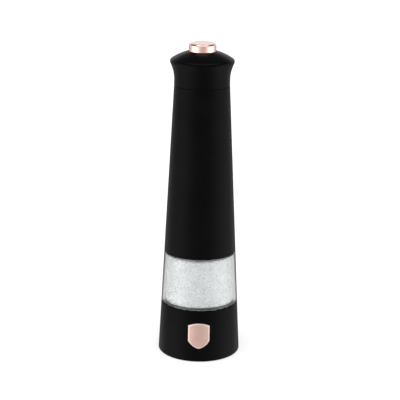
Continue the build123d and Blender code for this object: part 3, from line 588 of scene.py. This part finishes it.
# %% Give every piece its finish
finishes = {
    nylon: ["grinder_housing", "bottom_cover", "motor_housing", "battery_cup", "battery_carrier", "head_plug"]
    + ["drive_socket", "gear_ring", "motor_end_cap", "button_stem", "adjuster_knob"],
    black_casing: ["base_shell", "body_shell", "head_shell"],
    acrylic: ["spice_chamber"],
    button_plate: ["push_button"],
    shield_plate: ["nameplate"],
    silicone: ["chamber_seal", "body_gasket", "head_seal"],
    ceramic: ["ring_burr", "cone_burr"],
    steel: ["drive_shaft", "motor_shaft"],
    zinc: ["motor_can", "motor_plate", "housing_screws", "cover_screws", "cup_screws", "motor_screws"]
    + ["head_screws", "sun_pinion"],
    spring_wire: ["burr_spring", "button_spring", "cell_springs", "supply_spring"],
    brass: ["shaft_bush", "output_bush", "return_strip", "motor_terminals", "bridge_disc", "cell_contacts"],
    carbon: ["motor_brushes"],
    acetal: [name for name in nodes if "planet" in name or name in ("first_carrier", "second_carrier")],
    iron_stack: ["armature_core"],
    copper_wire: ["armature_coils", "commutator"],
    ferrite: ["motor_magnets"],
    jacket: ["aaa_cells"],
    red_lead: ["supply_lead"],
    black_lead: ["return_lead"],
}
dressed = []
for finish, names in finishes.items():
    for name in names:
        nodes[name].data.materials.clear()
        nodes[name].data.materials.append(finish)
        dressed.append(name)
print("dressed", len(dressed), "of", len(nodes), "left", sorted(set(nodes) - set(dressed)))

# %% [markdown]
# ## Turned skins with Geometry Nodes
# The casing, the head, the chamber and the button are all solids of revolution. The frame's solids
# are cut into flat facets, so the ones that show are turned again here, smoothly and with small
# rounded edges that catch the light. One tree does them all: it sweeps an outline round a circle,
# which is what a lathe does. Its inputs are the outline, the number of steps and the finish.


# %% Helpers that build and run a node tree
def new_tree(name, sockets):
    """Geometry tree with named inputs and one geometry output."""
    tree = bpy.data.node_groups.new(name, "GeometryNodeTree")
    for label, kind in sockets.items():
        tree.interface.new_socket(label, in_out="INPUT", socket_type=kind)
    tree.interface.new_socket("Geometry", in_out="OUTPUT", socket_type="NodeSocketGeometry")
    return tree, add(tree, "NodeGroupInput").outputs


def end_tree(tree, geometry, finish):
    """Real geometry with its finish, at the tree's output."""
    real = add(tree, "GeometryNodeRealizeInstances", {0: geometry})
    painted = add(tree, "GeometryNodeSetMaterial", {"Geometry": real.outputs[0], "Material": finish})
    add(tree, "NodeGroupOutput", {0: painted.outputs[0]})
    return tree


def grow(name, tree, start, sharp_degrees=30, **inputs):
    """Run a tree on a start mesh and keep the result as a plain mesh at the origin."""
    host = bpy.data.objects.new(name, start)
    scene.collection.objects.link(host)
    modifier = host.modifiers.new("grow", "NODES")
    modifier.node_group = tree
    for item in tree.interface.items_tree:
        key = item.name.replace(" ", "_")
        if item.in_out == "INPUT" and key in inputs:
            modifier[item.identifier] = inputs[key]
    evaluated = host.evaluated_get(bpy.context.evaluated_depsgraph_get())
    mesh = bpy.data.meshes.new_from_object(evaluated)
    host.modifiers.remove(modifier)
    host.data = mesh
    mesh.shade_smooth()
    mesh.set_sharp_from_angle(angle=math.radians(sharp_degrees))
    return host


def volume_of(piece):
    """Volume in cubic centimetres; it is positive when the faces point outwards."""
    shape = bmesh.new()
    shape.from_mesh(piece.data)
    total = shape.calc_volume(signed=True)
    shape.free()
    return total * 1e6


print("tree helpers ready")


# %% The lathe
def lathe_tree():
    sockets = {"Outline": "NodeSocketGeometry", "Steps": "NodeSocketInt", "Finish": "NodeSocketMaterial"}
    tree, given = new_tree("lathe", sockets)
    profile = add(tree, "GeometryNodeMeshToCurve", {0: given["Outline"]})
    ring = add(tree, "GeometryNodeCurvePrimitiveCircle", {"Resolution": given["Steps"], "Radius": 1.0})
    upright = add(tree, "GeometryNodeSetCurveNormal", {0: ring.outputs[0]}, mode="Z_UP")
    turned = add(tree, "GeometryNodeCurveToMesh", {"Curve": upright, "Profile Curve": profile})
    closed = add(tree, "GeometryNodeMergeByDistance", {"Geometry": turned.outputs[0], "Distance": 2e-6})
    return end_tree(tree, closed.outputs[0], given["Finish"])


lathe = lathe_tree()


def turn(name, outline, finish, steps=192, sharp_degrees=30, closed=True):
    """Turned piece from (radius, height) points in millimetres.

    The sweep circle has a radius of one metre, so the outline is drawn that much nearer the axis, and
    the sweep hangs an outline upside down, so its heights are turned round.
    """
    mesh = bpy.data.meshes.new(name)
    points = [(r * MM - 1.0, -z * MM, 0) for r, z in outline]
    count = len(points)
    edges = [(k, (k + 1) % count) for k in range(count if closed else count - 1)]
    mesh.from_pydata(points, edges, [])
    piece = grow(name, lathe, mesh, sharp_degrees, Steps=steps, Finish=finish)
    if volume_of(piece) < 0:
        piece.data.flip_normals()
    return piece


print("lathe inputs:", [item.name for item in lathe.interface.items_tree if item.in_out == "INPUT"])

# %% [markdown]
# ### Outlines with rounded corners
# No moulded edge is perfectly sharp. An outline is given as corners, each with the radius of its
# fillet, and this helper puts the arcs in. Large arcs, such as the dome, are given as many points.


# %% Outline helpers
def arc(centre, radius, start, end, count):
    """Points on an arc, from one angle to another, in degrees."""
    angles = [math.radians(start + (end - start) * k / (count - 1)) for k in range(count)]
    return [(centre[0] + radius * math.cos(a), centre[1] + radius * math.sin(a)) for a in angles]


def rounded(corners, steps=5):
    """Closed outline through (radius, height, fillet) corners; a corner with no fillet stays sharp."""
    points = []
    for k, corner in enumerate(corners):
        here = Vector(corner[:2])
        fillet = corner[2] if len(corner) > 2 else 0
        back = (Vector(corners[k - 1][:2]) - here).normalized()
        ahead = (Vector(corners[(k + 1) % len(corners)][:2]) - here).normalized()
        half = math.acos(max(-1, min(1, back.dot(ahead)))) / 2
        if not fillet or half > math.radians(88):
            points.append(tuple(here))
            continue
        reach = fillet / math.tan(half)
        centre = here + (back + ahead).normalized() * (fillet / math.sin(half))
        first, last = here + back * reach - centre, here + ahead * reach - centre
        sweep = first.angle_signed(last)
        for step in range(steps + 1):
            turned = first.copy()
            turned.rotate(Matrix.Rotation(-sweep * step / steps, 2))
            points.append(tuple(centre + turned))
    return points


print("a corner with a fillet becomes", len(rounded([(0, 0), (1, 0, 0.2), (1, 1)])) - 2, "points")

# %% [markdown]
# ### Base, body and chamber
# These three share the cone. The seams between them are narrow shadow lines: each edge is rounded by
# 0.3 mm, and the two pieces nearly touch. The body keeps three inner tabs near its top, which hold the
# head's bayonet, and the chamber has three lugs that hold the body's.

# %% Turn the base and the body
WALL = 2.0
EDGE = 0.3
SHELF = (28.05, 29.8)
base_skin = turn(
    "base_skin",
    rounded(
        [
            (cone(0) - WALL, 0, 0.4),
            (cone(0), 0, 0.7),
            (cone(base_top), base_top, EDGE),
            (cone(base_top) - WALL, base_top, 0.2),
            (cone(SHELF[1]) - WALL, SHELF[1]),
            (22.5, SHELF[1], 0.2),
            (22.5, SHELF[0], 0.2),
            (cone(SHELF[0]) - WALL, SHELF[0]),
        ]
    ),
    black_casing,
)
body_skin = turn(
    "body_skin",
    rounded(
        [
            (cone(window_top) - WALL, window_top, 0.2),
            (cone(window_top), window_top, EDGE),
            (cone(body_top), body_top, EDGE),
            (cone(body_top) - WALL, body_top, 0.2),
        ]
    ),
    black_casing,
)


def heights(piece):
    """Lowest and highest point of a piece, in millimetres."""
    levels = [vertex.co.z / MM for vertex in piece.data.vertices]
    return round(min(levels), 2), round(max(levels), 2)


for skin in (base_skin, body_skin):
    print(skin.name, len(skin.data.polygons), "faces, heights", heights(skin), round(volume_of(skin), 2))


# %% [markdown]
# ### The clear chamber
# The chamber is one moulding: a spigot that sits inside the base, the window, a shoulder, and a neck
# with a filling hole. Its walls must have a real thickness and must not touch the salt, or the light
# would not bend as it does in a thick plastic wall.

# %% Turn the chamber
chamber_skin = turn(
    "chamber_skin",
    rounded(
        [
            (22.4, 30.7, 0.2),
            (24.85, 30.7, 0.2),
            (24.85, base_top + 0.02),
            (cone(base_top), base_top + 0.02, EDGE),
            (cone(73.7), 73.7, EDGE),
            (20.0, 73.7, 0.1),
            (20.0, 81.0, EDGE),
            (18.0, 81.0, EDGE),
            (18.0, 72.5, 0.3),
            (22.23, 72.5, 0.3),
            (22.73, 72.0, 0.3),
            (24.59, 38.8, 0.5),
            (22.4, 36.4, 0.5),
        ]
    ),
    acrylic,
    sharp_degrees=40,
)
print("chamber heights", heights(chamber_skin), "volume", round(volume_of(chamber_skin), 2))

# %% [markdown]
# ### Head and button
# The head sweeps out from its neck to a crown and closes in a shallow dome. Neck and dome are two
# circles, and the crown is a small circle that touches both, so its centre is found where two larger
# circles cross. The button is a deep drawn cap with a rounded top edge, a catch flange at its foot and
# a boss for its stem.

# %% Turn the head
NECK = (19.06, 195.0)
FLARE = 26.9
DOME, DOME_CENTRE = 37.7, 178.2
CROWN = 2.2
BUTTON_HOLE = 9.5
CATCH = (207.9, 209.4)


def crown_centre():
    """Centre of the crown's small circle, inside the dome and outside the flare."""
    flare_centre = Vector((NECK[0] + FLARE, NECK[1]))
    apart = flare_centre - Vector((0, DOME_CENTRE))
    near, far = DOME - CROWN, FLARE + CROWN
    along = (apart.length_squared + near**2 - far**2) / (2 * apart.length)
    aside = math.sqrt(near**2 - along**2)
    direction = apart.normalized()
    return Vector((0, DOME_CENTRE)) + direction * along + Vector((-direction.y, direction.x)) * aside


def dome_height(r, inset=0.0):
    """Height of the dome at a radius, or of its inside, which is set in by the wall."""
    return DOME_CENTRE + math.sqrt((DOME - inset) ** 2 - r**2)


def head_outline():
    """Closed outline of the head shell, outside first and then inside."""
    crown = crown_centre()
    flare_centre = Vector((NECK[0] + FLARE, NECK[1]))
    to_flare, to_dome = flare_centre - crown, crown - Vector((0, DOME_CENTRE))
    flare_end = math.degrees(math.atan2(-to_flare.y, -to_flare.x)) % 360
    crown_start = flare_end - 180
    crown_end = math.degrees(math.atan2(to_dome.y, to_dome.x))
    hole = math.degrees(math.acos((BUTTON_HOLE + 0.3) / DOME))
    outside = rounded([(19.0, head_foot), (cone(head_foot), head_foot, EDGE), (NECK[0], NECK[1])])[1:-1]
    outside += arc(flare_centre, FLARE, 180, flare_end, 26)
    outside += arc(crown, CROWN, crown_start, crown_end, 14)[1:]
    outside += arc((0, DOME_CENTRE), DOME, crown_end, hole, 24)[1:]
    rim = [(9.58, dome_height(9.58) - 0.1), (BUTTON_HOLE, dome_height(BUTTON_HOLE) - 0.3)]
    counterbore = [(BUTTON_HOLE, CATCH[1] + 0.3), (11.2, CATCH[1] + 0.3)]
    under = [(r, dome_height(r, WALL)) for r in (11.2, 12.5, 14, 15.5, 17, 18.2, 19.2)]
    inside = [(19.4, 206.4), (18.6, 202.5), (17.9, 199.5), (17.26, 197.0)]
    foot = [(17.26, head_foot + 0.2), (17.46, head_foot)]
    return outside + rim + counterbore + under + inside + foot


head_skin = turn("head_skin", head_outline(), black_casing)
print("head heights", heights(head_skin), "volume", round(volume_of(head_skin), 2))

# %% Turn the button
BUTTON_R = 9.26
EDGE_R = 1.35
CROWNING = 0.12


def button_outline():
    """Open outline of the button, from the middle of its inside to the middle of its top."""
    inside = [(0, 217.4), (1.75, 217.4), (1.75, 214.0), (3.2, 214.0), (3.2, 218.4), (7.96, 218.4)]
    flange = [(7.96, CATCH[0]), (10.8, CATCH[0]), (10.8, CATCH[1]), (BUTTON_R, CATCH[1])]
    crest = button_top - CROWNING
    edge = arc((BUTTON_R - EDGE_R, crest - EDGE_R), EDGE_R, 0, 86, 9)
    top = [(r, button_top - CROWNING * (r / 7.9) ** 2) for r in (6.0, 4.0, 2.0, 0)]
    return inside + flange + edge + top


button_skin = turn("button_skin", button_outline(), button_plate, steps=128, closed=False)
print("button heights", heights(button_skin), "volume", round(volume_of(button_skin), 2))

# %% [markdown]
# ## Things that repeat round the axis
# Lugs, tabs and screw posts come in threes. A second tree takes one of them and sets copies of it round
# the mill's axis, with their number and the first one's angle as inputs.


# %% The tree that copies round the axis
def copies_tree():
    sockets = {"One": "NodeSocketGeometry", "Count": "NodeSocketInt", "First Angle": "NodeSocketFloat"}
    tree, given = new_tree("copies round the axis", {**sockets, "Finish": "NodeSocketMaterial"})
    one = add(tree, "GeometryNodeGeometryToInstance", {0: given["One"]})
    inputs = {"Geometry": one.outputs[0], "Amount": given["Count"]}
    many = add(tree, "GeometryNodeDuplicateElements", inputs, domain="INSTANCE")
    step = add(tree, MATH, {0: 2 * math.pi, 1: given["Count"]}, operation="DIVIDE")
    inputs = {0: many.outputs["Duplicate Index"], 1: step.outputs[0], 2: given["First Angle"]}
    angle = add(tree, MATH, inputs, operation="MULTIPLY_ADD")
    turn_by = add(tree, "ShaderNodeCombineXYZ", {"Z": angle.outputs[0]})
    inputs = {"Instances": many.outputs["Geometry"], "Rotation": turn_by.outputs[0], "Local Space": False}
    placed = add(tree, "GeometryNodeRotateInstances", inputs)
    return end_tree(tree, placed.outputs[0], given["Finish"])


copies = copies_tree()


def ring_piece(name, r_in, r_out, z0, z1, span, steps=8):
    """Mesh of a short piece of a ring about +X, in millimetres and degrees."""
    shape = bmesh.new()
    rows = []
    for k in range(steps + 1):
        a = math.radians(span * (k / steps - 0.5))
        corners = [(r_in, z0), (r_out, z0), (r_out, z1), (r_in, z1)]
        places = [(r * MM * math.cos(a), r * MM * math.sin(a), z * MM) for r, z in corners]
        rows.append([shape.verts.new(place) for place in places])
    for first, second in zip(rows, rows[1:]):
        for j in range(4):
            shape.faces.new((first[j], second[j], second[(j + 1) % 4], first[(j + 1) % 4]))
    shape.faces.new(rows[0])
    shape.faces.new(reversed(rows[-1]))
    bmesh.ops.recalc_face_normals(shape, faces=shape.faces)
    bmesh.ops.bevel(shape, geom=shape.edges, offset=0.12 * MM, segments=1, affect="EDGES", clamp_overlap=True)
    mesh = bpy.data.meshes.new(name)
    shape.to_mesh(mesh)
    shape.free()
    return mesh


def set_round(name, mesh, count, first_degrees, finish):
    return grow(name, copies, mesh, Count=count, First_Angle=math.radians(first_degrees), Finish=finish)


print("copies inputs:", [item.name for item in copies.interface.items_tree if item.in_out == "INPUT"])

# %% [markdown]
# ### Bayonet lugs, tabs and posts
# The chamber's neck has three lugs, under which the body's skirt hooks. The body has three tabs near
# its top for the head, and the head has three posts for the screws that hold its plug.

# %% Set the lugs, tabs and posts
chamber_lugs = set_round("chamber_lugs", ring_piece("lug", 20.01, 21.2, 78.6, 80.6, 24), 3, 90, acrylic)
body_tabs = set_round("body_tabs", ring_piece("tab", 16.7, 17.5, 185.8, 187.3, 28), 3, 90, black_casing)
post_outline = rounded([(0.9, 200.42), (2.0, 200.42, 0.2), (2.0, 211.7), (0.9, 211.7)])
post = turn("post", post_outline, black_casing, 24)
post.data.transform(Matrix.Translation((14.2 * MM, 0, 0)))
head_posts = set_round("head_posts", post.data, 3, 30, black_casing)
bpy.data.objects.remove(post)
for piece in (chamber_lugs, body_tabs, head_posts):
    print(piece.name, len(piece.data.polygons), "faces, heights", heights(piece), round(volume_of(piece), 3))

# %% [markdown]
# ## Salt
# The salt is a heap of coarse crystals. Filling the whole chamber with crystals would take a hundred
# thousand of them, so only the skin of the heap is made of crystals, and a turned bed lies under them.
# The bed stays clear of the shaft, which turns in it, and of the wall by the size of one crystal.

# %% Turn the salt bed
bed_outline = rounded(
    [
        (6.4, 22.7),
        (6.4, 30.2, 0.4),
        (3.2, 31.2, 0.4),
        (3.2, 71.0, 0.4),
        (9.0, 71.3),
        (15.0, 71.15),
        (21.0, 71.0, 0.5),
        (21.6, 70.5, 0.5),
        (23.35, 39.4, 0.5),
        (21.2, 37.0, 0.5),
        (21.2, 28.4, 0.6),
        (16.8, 23.0, 0.4),
        (16.0, 22.7),
    ]
)
salt_bed = turn("salt_bed", bed_outline, salt_powder, steps=96, sharp_degrees=60)
print("salt bed heights", heights(salt_bed), "volume", round(volume_of(salt_bed), 1), "cubic centimetres")

# %% [markdown]
# ### Crystals
# Salt breaks along flat faces that stand square to each other, and tumbling chips its corners. Each of
# five grains is the hull of a few points near the corners of a box. A tree scatters them over the bed
# with a fixed seed, so that every run gives the same heap.


# %% Five grains
def grain(seed, size_mm):
    """One chipped grain: the hull of points near the corners of a box."""
    dice = random.Random(seed)
    shape = bmesh.new()
    sides = [dice.uniform(0.62, 1.0) for _ in range(3)]
    for corner in range(8):
        signs = [1 if corner >> axis & 1 else -1 for axis in range(3)]
        for _ in range(2):
            place = [sign * side * dice.uniform(0.66, 1.0) for sign, side in zip(signs, sides)]
            reach = Vector(place)
            reach *= min(1.0, 1.25 / reach.length)
            shape.verts.new(reach * size_mm * MM / 2.5)
    hull = bmesh.ops.convex_hull(shape, input=shape.verts)
    bmesh.ops.delete(shape, geom=list(set(hull["geom_interior"] + hull["geom_unused"])), context="VERTS")
    bmesh.ops.recalc_face_normals(shape, faces=shape.faces)
    mesh = bpy.data.meshes.new(f"grain_{seed}")
    shape.to_mesh(mesh)
    shape.free()
    return bpy.data.objects.new(f"grain_{seed}", mesh)


GRAIN_MM = 2.0
grains = bpy.data.collections.new("grains")
for seed in range(5):
    grains.objects.link(grain(seed, GRAIN_MM))


# %% The tree that scatters
def scatter_tree():
    """Grains over the faces of a bed that lie above a height and outside a radius."""
    sockets = {"Bed": "NodeSocketGeometry", "Grains": "NodeSocketCollection", "Spacing": "NodeSocketFloat"}
    sockets |= {"Density": "NodeSocketFloat", "From Height": "NodeSocketFloat", "Seed": "NodeSocketInt"}
    sockets |= {"From Radius": "NodeSocketFloat", "Finish": "NodeSocketMaterial"}
    tree, given = new_tree("scatter grains", sockets)
    split = add(tree, "ShaderNodeSeparateXYZ", {0: add(tree, "GeometryNodeInputPosition").outputs[0]})
    flat = add(tree, "ShaderNodeCombineXYZ", {0: split.outputs[0], 1: split.outputs[1]})
    out = add(tree, "ShaderNodeVectorMath", {0: flat.outputs[0]}, operation="LENGTH").outputs["Value"]
    high = add(tree, MATH, {0: split.outputs[2], 1: given["From Height"]}, operation="GREATER_THAN")
    wide = add(tree, MATH, {0: out, 1: given["From Radius"]}, operation="GREATER_THAN")
    both = add(tree, MATH, {0: high, 1: wide}, operation="MULTIPLY")
    inputs = {"Mesh": given["Bed"], "Selection": both, "Distance Min": given["Spacing"]}
    inputs |= {"Density Max": given["Density"], "Seed": given["Seed"]}
    spots = add(tree, "GeometryNodeDistributePointsOnFaces", inputs, distribute_method="POISSON")
    picks = {"Collection": given["Grains"], "Separate Children": True, "Reset Children": True}
    choices = add(tree, "GeometryNodeCollectionInfo", picks)
    turns = {"Max": (2 * math.pi,) * 3, "Seed": given["Seed"]}
    spin = add(tree, "FunctionNodeRandomValue", turns, data_type="FLOAT_VECTOR")
    scales = {2: 0.55, 3: 1.0, "Seed": given["Seed"]}
    size = add(tree, "FunctionNodeRandomValue", scales, data_type="FLOAT")
    inputs = {"Points": spots.outputs["Points"], "Instance": choices.outputs[0], "Pick Instance": True}
    inputs |= {"Rotation": spin.outputs[0], "Scale": size.outputs[1]}
    placed = add(tree, "GeometryNodeInstanceOnPoints", inputs)
    return end_tree(tree, placed.outputs[0], given["Finish"])


scatter = scatter_tree()
start = salt_bed.data.copy()
amounts = {"Spacing": 0.9 * MM, "Density": 1.4e6, "From_Height": 36 * MM, "From_Radius": 5 * MM, "Seed": 7}
salt_crystals = grow("salt_crystals", scatter, start, 5, Grains=grains, Finish=salt_crystal, **amounts)
radii = [math.hypot(vertex.co.x, vertex.co.y) / MM for vertex in salt_crystals.data.vertices]
print("crystal faces", len(salt_crystals.data.polygons), "heights", heights(salt_crystals))
print("crystal radii", round(min(radii), 2), "to", round(max(radii), 2))
for one in list(grains.objects):
    bpy.data.objects.remove(one)
bpy.data.collections.remove(grains)

# %% [markdown]
# ## Marks under the foot and on the battery holder
# Under the mill a row of dots grows from small to large beside the grind knob, so that a finger or an
# eye knows which way is coarser. The battery holder has a plus or a minus at the end of each bay, as
# any holder has.


# %% Growing dots
def dots_tree():
    """Copies of one dot along an arc, growing from the first to the last."""
    sockets = {"Dot": "NodeSocketGeometry", "Count": "NodeSocketInt", "Radius": "NodeSocketFloat"}
    sockets |= {"Start Angle": "NodeSocketFloat", "Sweep Angle": "NodeSocketFloat"}
    sockets |= {"Height": "NodeSocketFloat", "Finish": "NodeSocketMaterial"}
    tree, given = new_tree("growing dots", sockets)
    inputs = {"Resolution": given["Count"], "Radius": given["Radius"]}
    inputs |= {"Start Angle": given["Start Angle"], "Sweep Angle": given["Sweep Angle"]}
    path = add(tree, "GeometryNodeCurveArc", inputs, mode="RADIUS")
    place = add(tree, "GeometryNodeInputIndex").outputs[0]
    growth = add(tree, RANGE, {0: place, 2: given["Count"], 3: 0.35})
    wide = add(tree, "ShaderNodeCombineXYZ", {0: growth, 1: growth, 2: 1.0}).outputs[0]
    inputs = {"Points": path.outputs[0], "Instance": given["Dot"], "Scale": wide}
    placed = add(tree, "GeometryNodeInstanceOnPoints", inputs)
    lift = add(tree, "ShaderNodeCombineXYZ", {2: given["Height"]}).outputs[0]
    moved = add(tree, "GeometryNodeTransform", {"Geometry": placed.outputs[0], "Translation": lift})
    return end_tree(tree, moved.outputs[0], given["Finish"])


dot = turn("dot", [(0, -0.25), (0.75, -0.25), (0.95, -0.1), (1.0, 0.02), (0, 0.02)], nylon, 16, closed=False)
cover_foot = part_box("bottom_cover")[0].z
sizes = {"Count": 7, "Radius": 18.1 * MM, "Start_Angle": math.radians(232), "Sweep_Angle": math.radians(76)}
grind_dots = grow("grind_dots", dots_tree(), dot.data, Height=cover_foot, Finish=nylon, **sizes)
bpy.data.objects.remove(dot)
print("dots", len(grind_dots.data.polygons), "faces, heights", heights(grind_dots))


# %% Plus and minus marks
def bar_mark(name, bars):
    """Raised mark made of flat bars (length, width) about a place on +X."""
    shape = bmesh.new()
    carrier_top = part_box("battery_carrier")[1].z
    for length, width in bars:
        size = Matrix.Diagonal((length * MM, width * MM, 0.25 * MM, 1))
        place = Matrix.Translation((8.6 * MM, 0, carrier_top + 0.115 * MM))
        bmesh.ops.create_cube(shape, size=1, matrix=place @ size)
    mesh = bpy.data.meshes.new(name)
    shape.to_mesh(mesh)
    shape.free()
    return mesh


plus_marks = set_round("plus_marks", bar_mark("plus", [(3.2, 0.8), (0.8, 3.2)]), 2, 45, nylon)
minus_marks = set_round("minus_marks", bar_mark("minus", [(0.8, 3.2)]), 2, 135, nylon)
print("marks", len(plus_marks.data.polygons), len(minus_marks.data.polygons), heights(plus_marks))

# %% [markdown]
# ## Hand every piece to its body
# Each piece says which body it rides on, which solids of the frame it stands for and which material
# slot it takes its finish from.

# %% Finish
parts_list = [
    (base_skin, "base", "black_abs", ["base_shell"]),
    (chamber_skin, "base", "clear_acrylic", ["spice_chamber"]),
    (chamber_lugs, "base", "clear_acrylic", []),
    (salt_bed, "base", "clear_acrylic", []),
    (salt_crystals, "base", "clear_acrylic", []),
    (grind_dots, "base", "black_nylon", []),
    (body_skin, "body", "black_abs", ["body_shell"]),
    (body_tabs, "body", "black_abs", []),
    (plus_marks, "battery", "black_nylon", []),
    (minus_marks, "battery", "black_nylon", []),
    (head_skin, "head", "black_abs", ["head_shell"]),
    (head_posts, "head", "black_abs", []),
    (button_skin, "button", "rose_metal", ["push_button"]),
]
for piece, body, slot, stands_for in parts_list:
    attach(piece, body)
    if stands_for:
        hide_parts(*stands_for)
